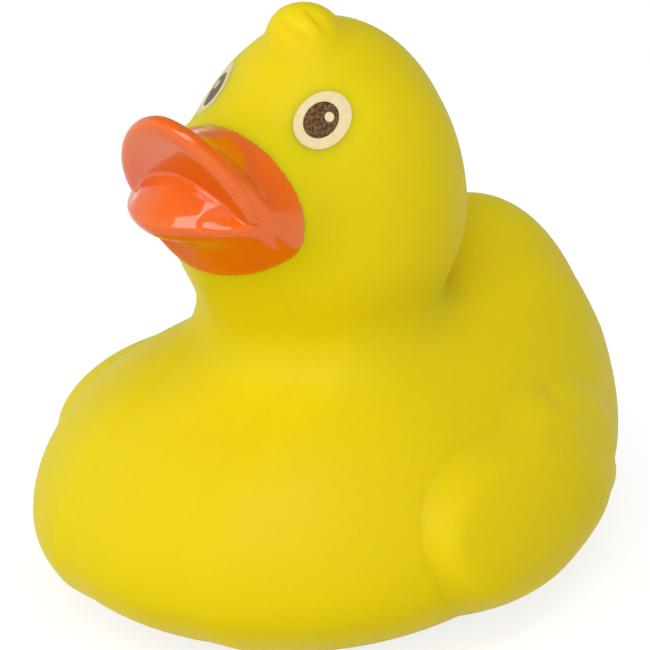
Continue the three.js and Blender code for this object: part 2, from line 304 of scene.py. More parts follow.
@dataclass(frozen=True)
class LowerLip:
    """The full lower lip: a blunt spade from above, with nicked ends.

    Its upper face slopes nearly straight up to the mouth, and its underside is round.
    """

    y: float
    z: float
    pitch: float = 3.4
    half_width: float = 9.6
    half_length: float = 9.6
    above: float = 8.0
    below: float = 3.3
    slope_power: float = 1.2
    under_power: float = 2.0
    plan_power: float = 1.6
    least_slope: float = 0.03
    nick_start: float = 4.5
    nick_full: float = 7.5
    nick_up: float = 1.2
    nick_depth: float = 0.5
    nick_width: float = 0.8

    def distance(self, points: Points) -> np.ndarray:
        """Measures points from the lip.

        Args:
            points: Places in the model's frame.

        Returns:
            About their distances, negative inside.
        """
        across = np.abs(points[:, 0])
        along, up = turned(points, self.y, self.z, self.pitch)
        height = np.where(up > 0, self.above, self.below)
        power = np.where(up > 0, self.slope_power, self.under_power)
        n = self.plan_power
        wide = across / self.half_width
        long = np.abs(along) / self.half_length
        out = np.maximum(wide**n + long**n, TINY) ** (1.0 / n)
        wide_slope = (wide / out) ** (n - 1.0) / self.half_width
        long_slope = (long / out) ** (n - 1.0) / self.half_length
        out_slope = np.hypot(wide_slope, long_slope)
        rise = np.abs(up) / height
        unit = np.maximum(out**power + rise**power, TINY) ** (1.0 / power)
        steep = np.hypot((out / unit) ** (power - 1.0) * out_slope, (rise / unit) ** (power - 1.0) / height)
        nick = ease(across, self.nick_start, self.nick_full)
        nick = nick * np.exp(-(((up - self.nick_up) / self.nick_width) ** 2))
        return (unit - 1.0) / np.maximum(steep, self.least_slope) + self.nick_depth * nick


@dataclass(frozen=True)
class UpperBill:
    """The upturned upper bill: a leaf with a rounded rim, thicker towards its root."""

    y: float
    z: float
    pitch: float = 60.0
    half_width: float = 10.1
    length: float = 13.1
    root: float = 6.0
    point: float = 1.75
    face: float = 0.7
    bow: float = 0.6
    thickness: float = 2.4
    swell: float = 5.0
    swell_reach: float = 9.0
    back_slope: float = 0.9
    least_slope: float = 0.04
    rim: float = 1.2
    rim_edge_share: float = 2.2
    corner_from: float = 0.55
    corner_length: float = 8.0
    corner_thinning: float = 0.7

    def local(self, points: Points) -> tuple[np.ndarray, np.ndarray]:
        """Gives how far points lie along the bill from its root, and through it towards its back."""
        rearward, upward = turned(points, self.y, self.z, self.pitch)
        return -rearward, upward

    def distance(self, points: Points) -> np.ndarray:
        """Measures points from the bill.

        Args:
            points: Places in the model's frame.

        Returns:
            About their distances, negative inside.
        """
        across = np.abs(points[:, 0]) / self.half_width
        along, through = self.local(points)
        reach = np.where(along > 0, self.length, self.root)
        run = np.abs(along) / reach
        n = self.point
        plan = np.maximum(across**n + run**n, TINY) ** (1.0 / n)
        slope_across = across ** (n - 1.0) / self.half_width * plan ** (1.0 - n)
        slope_along = run ** (n - 1.0) / reach * plan ** (1.0 - n)
        outline = (plan - 1.0) / np.maximum(np.hypot(slope_across, slope_along), self.least_slope)
        front = -(through + self.face) - self.bow * across**2
        depth = np.clip(self.length * (1.0 - np.hypot(across, run)), 0.0, self.swell_reach)
        swell = self.swell * (depth / self.swell_reach) ** 2
        corner = ease(across, self.corner_from, 1.0) * (1.0 - ease(along, 0.0, self.corner_length))
        back = through + self.face - self.thickness + self.corner_thinning * corner - swell
        leaf = trim(front, back * self.back_slope, self.rim)
        return trim(leaf, outline, self.rim_edge_share * self.rim)


@dataclass(frozen=True)
class PaintEdge:
    """Where the beak's paint ends: straight down the face, then forward along a slope under the chin."""

    face_y: float
    chin_y: float
    chin_z: float
    chin_slope: float = 1.03
    turn: float = 1.5

    def depth(self, points: Points) -> np.ndarray:
        """Gives how far inside the paint's edge points lie, negative outside."""
        face = self.face_y - points[:, 1]
        rise = points[:, 2] - self.chin_z - self.chin_slope * (points[:, 1] - self.chin_y)
        return blend(face, rise / math.hypot(1.0, self.chin_slope), self.turn)


class DuckForm:
    """The whole duck as a distance from its skin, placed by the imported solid's box."""

    BASE_BLEND = 1.6
    TAIL_BLEND = 30.0
    NECK_BLEND = 9.0
    HEAD_BLEND = 5.5
    MUZZLE_BLEND = 7.0
    LIP_BLEND = 4.2
    MOUTH_BLEND = 0.6
    BILL_ROOT_BLEND = 7.0
    BILL_ROOT_START = -0.6
    BILL_ROOT_END = 1.2
    BILL_MIDDLE_SHARE = 0.5
    BILL_MIDDLE_X = 2.0
    BILL_SIDE_X = 7.0
    CREST_BLEND = 2.3
    NARROWING = 0.03

    def __init__(self, chest: float) -> None:
        """Places every form from the front of the chest.

        Args:
            chest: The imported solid's lowest Y.
        """
        ahead = 34.6
        self.body = RoundForm(
            y=chest + ahead, z=12.0,
            half_width=30.2, ahead=ahead, behind=44.4, above=21.7, below=13.7,
        )
        y, z = self.body.y, self.body.z
        self.tail = RoundForm(
            y=y + 29.9, z=z + 11.5, pitch=-100.0,
            half_width=9.5, ahead=17.0, behind=17.0, above=15.0, below=15.0,
        )
        self.head = RoundForm(
            y=y + 2.0, z=z + 35.4,
            half_width=15.6, ahead=18.0, behind=19.9, above=24.7, below=15.0,
        )
        head_y, head_z = self.head.y, self.head.z
        self.eye_flats = EyeFlats(aside=8.4, y=head_y - 8.4, z=head_z + 16.1)
        self.neck = RoundForm(
            y=head_y - 0.4, z=head_z - 12.8,
            half_width=12.8, ahead=13.6, behind=13.6, above=11.8, below=11.8,
        )
        self.muzzle = RoundForm(
            y=head_y - 14.8, z=head_z + 6.6, pitch=12.0,
            half_width=11.8, ahead=9.6, behind=9.6, above=8.8, below=8.8,
        )
        self.bill = UpperBill(y=self.muzzle.y - 7.3, z=self.muzzle.z + 2.3)
        self.lip = LowerLip(y=self.muzzle.y - 5.8, z=self.muzzle.z + 0.8)
        self.paint = PaintEdge(face_y=head_y - 16.5, chin_y=head_y - 17.2, chin_z=head_z + 2.6)
        dome = RoundForm(
            y=head_y - 3.0, z=head_z + 23.4,
            half_width=4.3, ahead=3.7, behind=5.5, above=4.2, below=4.2,
        )
        front_groove = Groove(
            y=head_y - 5.4, z=head_z + 25.6, tilt=75.0, lean=0.48, depth=0.4, width=0.7,
            start=-1.7, full=0.0, fading=2.2, far=3.8,
        )
        flank_groove = Groove(
            y=head_y - 3.5, z=head_z + 26.0, tilt=0.0, lean=-0.15, depth=0.5, width=0.65,
            start=0.6, full=2.0, fading=3.2, far=4.6,
        )
        self.crest = Crest(dome, (front_groove, flank_groove))
        self.wings = Wings(
            palm=Lobe(y=y + 8.1, z=z + 0.6, half_length=21.0, half_height=12.0, turn=-16.5),
            feathers=(
                Lobe(y=y + 13.8, z=z + 9.4, half_length=6.6, half_height=5.5, turn=20.0),
                Lobe(y=y + 24.0, z=z + 7.0, half_length=9.0, half_height=6.2, turn=-35.0),
                Lobe(y=y + 25.5, z=z - 2.6, half_length=8.0, half_height=5.6, turn=4.0),
            ),
        )

    def bodywork(self, points: Points) -> np.ndarray:
        """Measures points from the body, tail, neck and head, without what is raised on them.

        Args:
            points: Places in the model's frame.

        Returns:
            About their distances, negative inside.
        """
        waist = points.copy()
        share = np.clip((points[:, 1] - self.body.y) / self.body.behind, -1.0, 1.0)
        waist[:, 0] /= 1.0 - self.NARROWING * share
        whole = blend(self.body.distance(waist), self.tail.distance(points), self.TAIL_BLEND)
        whole = blend(whole, self.neck.distance(points), self.NECK_BLEND)
        head = self.head.distance(points) + self.eye_flats.cut(points)
        return blend(whole, head, self.HEAD_BLEND)

    def distance(self, points: Points) -> np.ndarray:
        """Measures points from the duck's skin.

        The bill meets the lip sharply in front and runs into the face behind, less so in the middle.

        Args:
            points: Places in the model's frame.

        Returns:
            About their distances, negative inside.
        """
        whole = self.bodywork(points) - self.wings.rise(points)
        whole = trim(whole, -points[:, 2], self.BASE_BLEND)
        whole = blend(whole, self.muzzle.distance(points), self.MUZZLE_BLEND)
        whole = blend(whole, self.lip.distance(points), self.LIP_BLEND)
        root = ease(self.bill.local(points)[1], self.BILL_ROOT_START, self.BILL_ROOT_END)
        aside = ease(np.abs(points[:, 0]), self.BILL_MIDDLE_X, self.BILL_SIDE_X)
        share = self.BILL_MIDDLE_SHARE + (1.0 - self.BILL_MIDDLE_SHARE) * aside
        reach = self.MOUTH_BLEND + (self.BILL_ROOT_BLEND * share - self.MOUTH_BLEND) * root
        whole = blend(whole, self.bill.distance(points), reach)
        return blend(whole, self.crest.distance(points), self.CREST_BLEND)

    def normals(self, points: Points) -> Points:
        """Gives the skin's outward unit normals at points on it."""
        slope = gradient(self.distance, points)
        return slope / np.maximum(np.linalg.norm(slope, axis=-1, keepdims=True), TINY)

    def settle(self, points: Points, passes: int = 2, level: float | np.ndarray = 0.0) -> Points:
        """Moves points straight onto the skin, or to a level above or below it.

        Args:
            points: Points near the skin.
            passes: How often they are moved.
            level: The height above the skin that they go to.

        Returns:
            The moved points.
        """
        for _ in range(passes):
            slope = gradient(self.distance, points)
            steep = np.maximum((slope**2).sum(-1), LEAST_STEEP)
            points = points - slope * ((self.distance(points) - level) / steep)[:, None]
        return points


@dataclass
class Surface:
    """A mesh in millimetres with the normals that it is shaded by."""

    points: Points
    faces: list[np.ndarray]
    normals: Points

    def rim(self) -> np.ndarray:
        """Finds the surface's open edges.

        Returns:
            The directed edges that only one face has.
        """
        loops = [np.stack([f, np.roll(f, -1, axis=1)], axis=-1).reshape(-1, 2) for f in self.faces]
        edges = np.concatenate(loops)
        key = np.sort(edges, axis=1)
        _, first, count = np.unique(key, axis=0, return_index=True, return_counts=True)
        return edges[first[count == 1]]

    def film(self, lift: np.ndarray, sink: float) -> "Surface":
        """Turns an open surface into a thin closed film.

        Args:
            lift: How far each point of the film's face stands off the surface.
            sink: How far its hidden back lies under the surface.

        Returns:
            The closed film.
        """
        count = len(self.points)
        face = self.points + self.normals * lift[:, None]
        back = self.points - self.normals * sink
        edge = self.rim()
        wall = np.stack([edge[:, 1], edge[:, 0], edge[:, 0] + count, edge[:, 1] + count], axis=-1)
        faces = self.faces + [f[:, ::-1] + count for f in self.faces] + [wall]
        return Surface(np.concatenate([face, back]), faces, np.concatenate([self.normals, -self.normals]))

    def make(self, name: str) -> bpy.types.Object:
        """Makes a smooth Blender object, in metres.

        Args:
            name: The object's name.

        Returns:
            The object, linked into the scene.
        """
        mesh = bpy.data.meshes.new(name)
        sizes = np.concatenate([np.full(len(f), f.shape[1]) for f in self.faces])
        corners = np.concatenate([f.ravel() for f in self.faces])
        mesh.vertices.add(len(self.points))
        mesh.vertices.foreach_set("co", (self.points * MM).astype(np.float32).ravel())
        mesh.loops.add(len(corners))
        mesh.loops.foreach_set("vertex_index", corners.astype(np.int32))
        mesh.polygons.add(len(sizes))
        mesh.polygons.foreach_set("loop_start", (np.cumsum(sizes) - sizes).astype(np.int32))
        mesh.update(calc_edges=True)
        mesh.validate()
        mesh.shade_smooth()
        mesh.normals_split_custom_set_from_vertices(self.normals.tolist())
        piece = bpy.data.objects.new(name, mesh)
        bpy.context.scene.collection.objects.link(piece)
        return piece


@dataclass(frozen=True)
class SkinMesher:
    """Meshes a form's skin with one point in each grid cell that it crosses."""

    pitch: float
    relax_passes: int = 4
    relax_share: float = 0.6
    slab: int = 12

    RING = ((-1, -1), (0, -1), (0, 0), (-1, 0))

    def values(self, field: Field, axes: list[np.ndarray]) -> np.ndarray:
        """Measures a field on a grid, a few layers at a time.

        Args:
            field: The distance to measure.
            axes: The grid's places along X, Y and Z.

        Returns:
            The distances, with one axis for each of the grid's.
        """
        layers = []
        for start in range(0, len(axes[0]), self.slab):
            x, y, z = np.meshgrid(axes[0][start : start + self.slab], axes[1], axes[2], indexing="ij")
            layers.append(field(np.stack([x, y, z], axis=-1).reshape(-1, 3)).reshape(x.shape))
        return np.concatenate(layers)

    def crossings(self, value: np.ndarray, axis: int) -> tuple[np.ndarray, Points, np.ndarray]:
        """Finds where the skin crosses the grid's lines along one axis.

        Args:
            value: The distances on the grid.
            axis: The axis that the lines run along.

        Returns:
            The four cells around each crossing, its place in grid steps, and whether it leads inwards.
        """
        first, second = (axis + 1) % 3, (axis + 2) % 3
        before = np.take(value, range(value.shape[axis] - 1), axis)
        after = np.take(value, range(1, value.shape[axis]), axis)
        at = np.argwhere((before < 0) != (after < 0))
        inner = [(at[:, n] > 0) & (at[:, n] < value.shape[n] - 1) for n in (first, second)]
        at = at[np.all(inner, axis=0)]
        before, after = before[tuple(at.T)], after[tuple(at.T)]
        place = at.astype(float)
        place[:, axis] += before / (before - after)
        cells = np.repeat(at[:, None, :], len(self.RING), axis=1)
        for n, (u, v) in enumerate(self.RING):
            cells[:, n, first] += u
            cells[:, n, second] += v
        return cells, place, before > 0

    def mesh(self, form: DuckForm, low: Points, high: Points) -> Surface:
        """Meshes the part of a form's skin that lies in a box.

        Args:
            form: The form to mesh.
            low: The box's lowest corner.
            high: The box's highest corner.

        Returns:
            The skin, in four-sided faces.
        """
        steps = np.ceil((high - low) / self.pitch).astype(int)
        start = (low + high - steps * self.pitch) / 2.0
        axes = [start[n] + self.pitch * np.arange(steps[n] + 1) for n in range(3)]
        value = self.values(form.distance, axes)
        found = [self.crossings(value, axis) for axis in range(3)]
        cells, places, inwards = (np.concatenate(part) for part in zip(*found))
        keys = np.ravel_multi_index(tuple(cells.reshape(-1, 3).T), tuple(steps))
        _, index = np.unique(keys, return_inverse=True)
        spread = np.repeat(places, len(self.RING), axis=0)
        count = np.bincount(index)
        mean = np.stack([np.bincount(index, spread[:, n]) / count for n in range(3)], axis=-1)
        quads = index.reshape(-1, len(self.RING))
        quads[inwards] = quads[inwards][:, ::-1]
        points = self.even(form, start + mean * self.pitch, quads)
        return Surface(points, [quads], form.normals(points))

    def even(self, form: DuckForm, points: Points, quads: np.ndarray) -> Points:
        """Evens the points out along the skin.

        Args:
            form: The form whose skin it is.
            points: The mesh's points, near the skin.
            quads: The mesh's faces.

        Returns:
            The points, on the skin.
        """
        here = quads.T.ravel()
        there = np.roll(quads, -1, axis=1).T.ravel()
        ends = np.concatenate([here, there])
        others = np.concatenate([there, here])
        count = np.maximum(np.bincount(ends, minlength=len(points)), 1)
        points = form.settle(points)
        for _ in range(self.relax_passes):
            sums = [np.bincount(ends, points[others, n], minlength=len(points)) for n in range(3)]
            mean = np.stack(sums, axis=-1) / count[:, None]
            points = form.settle((1.0 - self.relax_share) * points + self.relax_share * mean, passes=1)
        return form.settle(points, passes=1)


def grey(level: float) -> tuple[float, float, float, float]:
    """Gives a neutral colour with its alpha."""
    return (level, level, level, 1.0)


@dataclass(frozen=True)
class Grain:
    """Soft noise: its features to the metre, its finer layers, their strength and the range used."""

    scale: float
    detail: float = 2.0
    roughness: float = 0.5
    ends: Span = (0.3, 0.7)


class NodeSheet:
    """A material's node tree, with short ways to add nodes and join them."""

    def __init__(self, name: str) -> None:
        """Starts an empty tree with its output.

        Args:
            name: The material's name.
        """
        self.material = bpy.data.materials.new(name)
        self.material.use_nodes = True
        self.tree = self.material.node_tree
        self.tree.nodes.clear()
        self.output = self.tree.nodes.new("ShaderNodeOutputMaterial")

    def add(self, kind: str, settings: dict[str, Any] | None = None, **inputs: Any) -> bpy.types.Node:
        """Adds a node.

        Args:
            kind: The node's type, without its ShaderNode prefix.
            settings: Properties to set on the node.
            inputs: Socket values or sockets to join, with underscores for the spaces in their names.

        Returns:
            The node.
        """
        node = self.tree.nodes.new("ShaderNode" + kind)
        for name, value in (settings or {}).items():
            setattr(node, name, value)
        for name, value in inputs.items():
            self.feed(node.inputs[name.replace("_", " ")], value)
        return node

    def feed(self, socket: bpy.types.NodeSocket, value: Any) -> None:
        """Feeds one socket.

        Args:
            socket: The socket to feed.
            value: Another socket to join it to, or its own value.
        """
        if isinstance(value, bpy.types.NodeSocket):
            self.tree.links.new(value, socket)
        else:
            socket.default_value = value

    def fill(self, node: bpy.types.Node, *values: Any) -> bpy.types.NodeSocket:
        """Feeds a node's sockets in their order.

        Args:
            node: The node to feed.
            values: Sockets to join or values to set, from the first socket on.

        Returns:
            The node's first output.
        """
        for socket, value in zip(node.inputs, values):
            self.feed(socket, value)
        return node.outputs[0]

    def attribute(self, name: str) -> bpy.types.NodeSocket:
        """Gives a value that the mesh holds at its points."""
        return self.add("Attribute", {"attribute_name": name}).outputs["Fac"]

    def noise(self, grain: Grain) -> bpy.types.NodeSocket:
        """Adds soft noise by the place on the piece.

        Args:
            grain: The noise to add.

        Returns:
            The noise's value.
        """
        node = self.add(
            "TexNoise",
            Vector=self.add("TexCoord").outputs["Object"],
            Scale=grain.scale,
            Detail=grain.detail,
            Roughness=grain.roughness,
        )
        return node.outputs["Fac"]

    def between(self, value: bpy.types.NodeSocket, ends: Span, to: Span = (0.0, 1.0)) -> bpy.types.NodeSocket:
        """Runs a value smoothly from one range to another.

        Args:
            value: The value to map.
            ends: Where the run starts and stops.
            to: What it gives there.

        Returns:
            The mapped value.
        """
        node = self.add("MapRange", {"interpolation_type": "SMOOTHSTEP"}, Value=value)
        for name, number in zip(("From Min", "From Max", "To Min", "To Max"), (*ends, *to)):
            node.inputs[name].default_value = number
        return node.outputs["Result"]

    def mottle(self, grain: Grain, to: Span = (0.0, 1.0)) -> bpy.types.NodeSocket:
        """Gives soft noise, run smoothly from its own range to another."""
        return self.between(self.noise(grain), grain.ends, to)

    def math(self, operation: str, a: Any, b: Any) -> bpy.types.NodeSocket:
        """Works out one value from two."""
        return self.fill(self.add("Math", {"operation": operation}), a, b)

    def mix(self, share: Any, a: Any, b: Any) -> bpy.types.NodeSocket:
        """Mixes two colours, each a socket or red, green and blue.

        Args:
            share: How much of the second there is.
            a: The first colour.
            b: The second colour.

        Returns:
            The mixed colour.
        """
        node = self.add("Mix", {"data_type": "RGBA"})
        self.feed(node.inputs["Factor"], share)
        for name, colour in (("A", a), ("B", b)):
            socket = next(s for s in node.inputs if s.name == name and s.type == "RGBA")
            self.feed(socket, (*colour, 1.0) if isinstance(colour, tuple) else colour)
        return next(s for s in node.outputs if s.type == "RGBA")

    def bump(self, grain: Grain, depth: float, strength: float) -> bpy.types.NodeSocket:
        """Adds a fine relief.

        Args:
            grain: The noise that gives its height.
            depth: The relief's full depth, in metres.
            strength: How much of it shows.

        Returns:
            The bumped normal.
        """
        node = self.add("Bump", Height=self.noise(grain), Distance=depth, Strength=strength)
        return node.outputs["Normal"]

    def surface(self, shader: bpy.types.NodeSocket) -> bpy.types.Material:
        """Ends the tree with a shader and gives the material."""
        self.tree.links.new(shader, self.output.inputs["Surface"])
        return self.material


@dataclass(frozen=True)
class VinylFinish:
    """Soft yellow vinyl, nearly matt, that light soaks into, with a faint mottle from the mould."""

    name: str = "yellow_vinyl"
    light: Colour = (0.83, 0.665, 0.004)
    deep: Colour = (0.815, 0.645, 0.002)
    drift: Grain = Grain(28.0, ends=(0.35, 0.65))
    drift_share: float = 0.6
    mottle: Grain = Grain(1400.0, detail=3.0, roughness=0.6)
    roughness: float = 0.5
    uneven: float = 0.03
    shine: Grain = Grain(60.0, detail=3.0)
    gloss: float = 0.15
    texture: Grain = Grain(1900.0, detail=3.0, roughness=0.6)
    texture_depth: float = 0.00005
    texture_strength: float = 0.2
    softness: float = 1.0
    soft_depth: float = 0.006
    soft_spread: Colour = (1.0, 0.5, 0.05)

    def colour(self, sheet: NodeSheet) -> bpy.types.NodeSocket:
        """Gives the vinyl's colour: a slow drift and a fine mottle.

        Args:
            sheet: The material's node tree.

        Returns:
            The colour.
        """
        drift = sheet.math("MULTIPLY", sheet.mottle(self.drift), self.drift_share)
        mottle = sheet.math("MULTIPLY", sheet.mottle(self.mottle), 1.0 - self.drift_share)
        return sheet.mix(sheet.math("ADD", drift, mottle), self.light, self.deep)

    def material(self) -> bpy.types.Material:
        """Makes the finish.

        Returns:
            The material.
        """
        sheet = NodeSheet(self.name)
        shader = sheet.add(
            "BsdfPrincipled",
            Base_Color=self.colour(sheet),
            Roughness=sheet.mottle(self.shine, (self.roughness - self.uneven, self.roughness + self.uneven)),
            Specular_IOR_Level=self.gloss,
            Normal=sheet.bump(self.texture, self.texture_depth, self.texture_strength),
            Subsurface_Weight=self.softness,
            Subsurface_Radius=self.soft_spread,
            Subsurface_Scale=self.soft_depth,
        )
        return sheet.surface(shader.outputs[0])


@dataclass(frozen=True)
class BeakFinish:
    """Glossy sprayed orange paint, thinner towards its edge and where it was sheltered."""

    name: str = "orange_paint"
    orange: Colour = (0.88, 0.145, 0.001)
    deep: Colour = (0.85, 0.128, 0.001)
    cloud: Grain = Grain(160.0, detail=3.0, roughness=0.6)
    spray: Grain = Grain(2400.0, detail=3.0, roughness=0.7)
    spray_middle: float = 0.5
    edge: Colour = (0.83, 0.18, 0.002)
    edge_spray: float = 1.6
    edge_ends: Span = (-0.2, 1.2)
    edge_share: float = 0.8
    thin: Colour = (0.82, 0.29, 0.003)
    thin_spray: float = 0.15
    thin_ends: Span = (0.05, 1.0)
    roughness: float = 0.07
    uneven: float = 0.02
    shine: Grain = Grain(300.0)
    dull_roughness: float = 0.8
    gloss: float = 0.55
    ripple: Grain = Grain(520.0, detail=3.0, roughness=0.55)
    ripple_depth: float = 0.00012
    ripple_strength: float = 0.16

    def colour(self, sheet: NodeSheet) -> bpy.types.NodeSocket:
        """Gives the paint's colour: clouded, paler at its edge, and with the vinyl behind it where thin.

        Args:
            sheet: The material's node tree.

        Returns:
            The colour.
        """
        spray = sheet.math("SUBTRACT", sheet.noise(self.spray), self.spray_middle)
        near_edge = sheet.math("MULTIPLY", spray, self.edge_spray)
        near_edge = sheet.math("ADD", sheet.attribute(BeakPaint.DEPTH), near_edge)
        shows = sheet.math("MULTIPLY", spray, self.thin_spray)
        shows = sheet.math("ADD", sheet.attribute(BeakPaint.THIN), shows)
        paint = sheet.mix(sheet.mottle(self.cloud), self.orange, self.deep)
        paint = sheet.mix(sheet.between(near_edge, self.edge_ends, (self.edge_share, 0.0)), paint, self.edge)
        return sheet.mix(sheet.between(shows, self.thin_ends), paint, self.thin)

    def material(self) -> bpy.types.Material:
        """Makes the finish.

        Returns:
            The material.
        """
        sheet = NodeSheet(self.name)
        glossy = sheet.mottle(self.shine, (self.roughness - self.uneven, self.roughness + self.uneven))
        dulled = sheet.math("MULTIPLY", sheet.attribute(BeakPaint.DULL), self.dull_roughness)
        shader = sheet.add(
            "BsdfPrincipled",
            Base_Color=self.colour(sheet),
            Roughness=sheet.math("MAXIMUM", glossy, dulled),
            Specular_IOR_Level=self.gloss,
            Normal=sheet.bump(self.ripple, self.ripple_depth, self.ripple_strength),
        )
        return sheet.surface(shader.outputs[0])


@dataclass(frozen=True)
class PrintFinish:
    """Satin print with a fine grain between two colours."""

    name: str
    light: Colour
    dark: Colour
    grain: Grain
    roughness: float = 0.4
    gloss: float = 0.12
    relief_depth: float = 0.00002
    relief_strength: float = 0.2

    def material(self) -> bpy.types.Material:
        """Makes the finish.

        Returns:
            The material.
        """
        sheet = NodeSheet(self.name)
        shader = sheet.add(
            "BsdfPrincipled",
            Base_Color=sheet.mix(sheet.mottle(self.grain), self.dark, self.light),
            Roughness=self.roughness,
            Specular_IOR_Level=self.gloss,
            Normal=sheet.bump(Grain(self.grain.scale), self.relief_depth, self.relief_strength),
        )
        return sheet.surface(shader.outputs[0])


EYE_CREAM = PrintFinish(
    name="eye_cream",
    light=(0.87, 0.73, 0.42),
    dark=(0.81, 0.67, 0.36),
    grain=Grain(1500.0, detail=4.0, roughness=0.7, ends=(0.35, 0.65)),
)
EYE_BROWN = PrintFinish(
    name="eye_brown",
    light=(0.27, 0.14, 0.05),
    dark=(0.065, 0.03, 0.01),
    grain=Grain(3200.0, detail=4.0, roughness=0.7, ends=(0.42, 0.66)),
)


def seat(piece: bpy.types.Object) -> bpy.types.Object:
    """Joins a piece to the duck's body.

    Args:
        piece: The piece, in place.

    Returns:
        The piece.
    """
    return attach(piece, BODY)


@dataclass
class Skin:
    """The moulded duck itself, drawn in a little where the paint covers it."""

    form: DuckForm
    pitch: float = 0.6
    spare_cells: float = 2.0
    under_paint: float = 0.7
    under_start: float = 0.3
    under_full: float = 2.0
    under_passes: int = 6

    def build(self, low: Points, high: Points, finish: VinylFinish) -> bpy.types.Object:
        """Builds and dresses the duck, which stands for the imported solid.

        Args:
            low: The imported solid's lowest corner.
            high: Its highest corner.
            finish: The vinyl's finish.

        Returns:
            The duck.
        """
        spare = np.full(3, self.spare_cells * self.pitch)
        reach = np.maximum(np.abs(low), np.abs(high))[0]
        low = np.array([-reach, low[1], low[2]]) - spare
        high = np.array([reach, high[1], high[2]]) + spare
        skin = SkinMesher(self.pitch).mesh(self.form, low, high)
        covered = ease(self.form.paint.depth(skin.points), self.under_start, self.under_full)
        painted = covered > 0.0
        level = -self.under_paint * covered[painted]
        skin.points[painted] = self.form.settle(skin.points[painted], self.under_passes, level)
        piece = skin.make("duck_skin")
        piece.data.materials.append(finish.material())
        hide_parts(NODE)
        return seat(piece)


@dataclass
class BeakPaint:
    """The film of orange paint over the bill, the lips and the muzzle."""

    form: DuckForm
    pitch: float = 0.36
    spare: float = 2.0
    reach_below: float = 2.0
    lift: float = 0.05
    sink: float = 0.12
    fade_start: float = -0.1
    fade_full: float = 0.8
    rim_passes: int = 5
    ragged: float = 0.07
    wander: float = 2.0
    coarse_waves: tuple[float, float, float, float] = (1.7, 2.9, 1.3, 2.3)
    fine_waves: tuple[float, float, float, float] = (0.83, 1.1, 0.9, 0.77)
    thin_top_start: float = -2.0
    thin_top_full: float = 6.0
    thin_top_x: float = -1.0
    thin_chin_x: float = -6.5
    thin_half_width: float = 4.5
    thin_top_share: float = 0.45
    shelter_lean: float = 1.5
    shelter_start: float = -2.0
    shelter_full: float = 1.0
    dull_full_up: float = -1.8
    dull_end_up: float = -0.6
    dull_full_x: float = -3.0
    dull_end_x: float = 5.0

    DEPTH = "paint_depth"
    THIN = "paint_thin"
    DULL = "paint_dull"

    def depth(self, points: Points) -> np.ndarray:
        """Measures points from the paint's slightly ragged edge.

        Args:
            points: Places on the skin.

        Returns:
            How far inside the edge they lie, negative outside.
        """
        x, y, z = (points * 2.0 * math.pi).T
        a, b, c, d = self.coarse_waves
        ragged = np.sin(x / a + self.wander * np.sin(z / b)) * np.sin(z / c + self.wander * np.sin(y / d))
        a, b, c, d = self.fine_waves
        ragged = ragged + np.sin(x / a + z / b) * np.sin(y / c - z / d)
        return self.form.paint.depth(points) + self.ragged * ragged

    def thinness(self, points: Points) -> tuple[np.ndarray, np.ndarray]:
        """Measures where the bill and the lip sheltered the muzzle from the spray.

        Args:
            points: Places on the paint.

        Returns:
            How much the vinyl shows through, and how dull the paint is, which is so on the chin alone.
        """
        x, y, z = points.T
        front, level = self.form.bill.y, self.form.muzzle.z
        top = ease(z, level + self.thin_top_start, level + self.thin_top_full)
        leaned = y - self.shelter_lean * top
        sheltered = ease(leaned, front + self.shelter_start, front + self.shelter_full)
        middle = self.thin_chin_x + (self.thin_top_x - self.thin_chin_x) * top
        shows = sheltered * np.exp(-(((x - middle) / self.thin_half_width) ** 2))
        under = 1.0 - ease(z - self.form.lip.z, self.dull_full_up, self.dull_end_up)
        dull = under * (1.0 - ease(x, self.dull_full_x, self.dull_end_x))
        return shows * (1.0 + (self.thin_top_share - 1.0) * top), dull

    def trimmed(self, skin: Surface) -> Surface:
        """Trims a piece of skin to the paint's edge.

        Args:
            skin: The skin around the beak.

        Returns:
            The painted part, with the points of its rim drawn onto the edge.
        """
        quads = skin.faces[0]
        depth = self.depth(skin.points)
        quads = quads[(depth[quads] > 0.0).any(axis=1)]
        used, index = np.unique(quads, return_inverse=True)
        points, outside = skin.points[used], depth[used] < 0.0
        for _ in range(self.rim_passes):
            rim = points[outside]
            slope = gradient(self.depth, rim)
            normal = self.form.normals(rim)
            slope -= normal * (slope * normal).sum(-1, keepdims=True)
            steep = np.maximum((slope**2).sum(-1), LEAST_STEEP)
            points[outside] = self.form.settle(rim - slope * (self.depth(rim) / steep)[:, None], passes=1)
        return Surface(points, [index.reshape(quads.shape)], self.form.normals(points))

    def build(self, finish: BeakFinish) -> bpy.types.Object:
        """Builds and dresses the film.

        Args:
            finish: The paint's finish.

        Returns:
            The film.
        """
        muzzle, bill = self.form.muzzle, self.form.bill
        reach = muzzle.half_width + self.spare
        low = np.array([-reach, bill.y - bill.length, muzzle.z - self.reach_below * muzzle.below])
        high = np.array([reach, muzzle.y + muzzle.behind, bill.z + bill.length])
        face = self.trimmed(SkinMesher(self.pitch).mesh(self.form, low, high))
        depth = self.form.paint.depth(face.points)
        film = face.film(self.lift * ease(depth, self.fade_start, self.fade_full), self.sink)
        piece = film.make("beak_paint")
        thin, dull = self.thinness(face.points)
        for name, values in ((self.DEPTH, depth), (self.THIN, thin), (self.DULL, dull)):
            attribute = piece.data.attributes.new(name, "FLOAT", "POINT")
            attribute.data.foreach_set("value", np.concatenate([values, values]).astype(np.float32))
        piece.data.materials.append(finish.material())
        return seat(piece)


@dataclass(frozen=True)
class Oval:
    """One printed oval of an eye, placed from the eye's centre along the face."""

    half_long: float
    half_short: float
    lean: float
    back: float = 0.0
    up: float = 0.0


